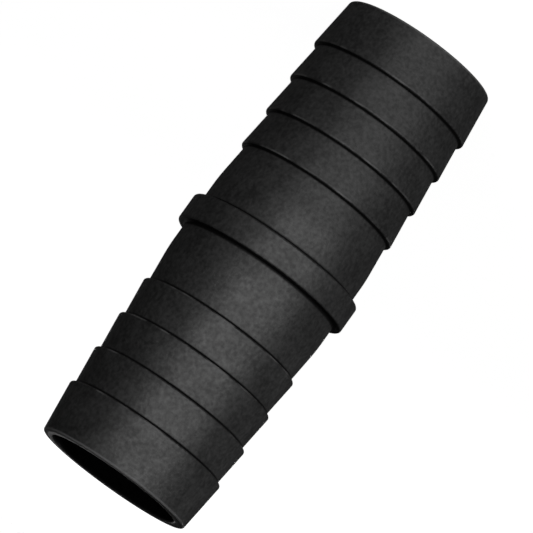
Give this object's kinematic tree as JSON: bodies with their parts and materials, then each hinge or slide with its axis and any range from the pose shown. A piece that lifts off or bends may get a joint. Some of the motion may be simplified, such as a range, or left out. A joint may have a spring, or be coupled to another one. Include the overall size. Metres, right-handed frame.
{
  "type": "hose mender",
  "caption": "Straight tubular hose mender: stepped hose barbs on both spigots, a raised collar between them that stops the hoses, and a plain through bore.",
  "frame": {"origin": "centre of the lower spigot's end face, at the bottom of the part as it stands on end", "axes": "+Z along the bore, from the foot to the upper mouth; the part is round, so X and Y are any two directions across it"},
  "size_m": [0.0298, 0.0298, 0.08],
  "materials": {
    "black_nylon": "matt black glass-filled nylon, as moulded"
  },
  "bodies": {
    "root": {"mender_body": "black_nylon"}
  },
  "joints": []
}
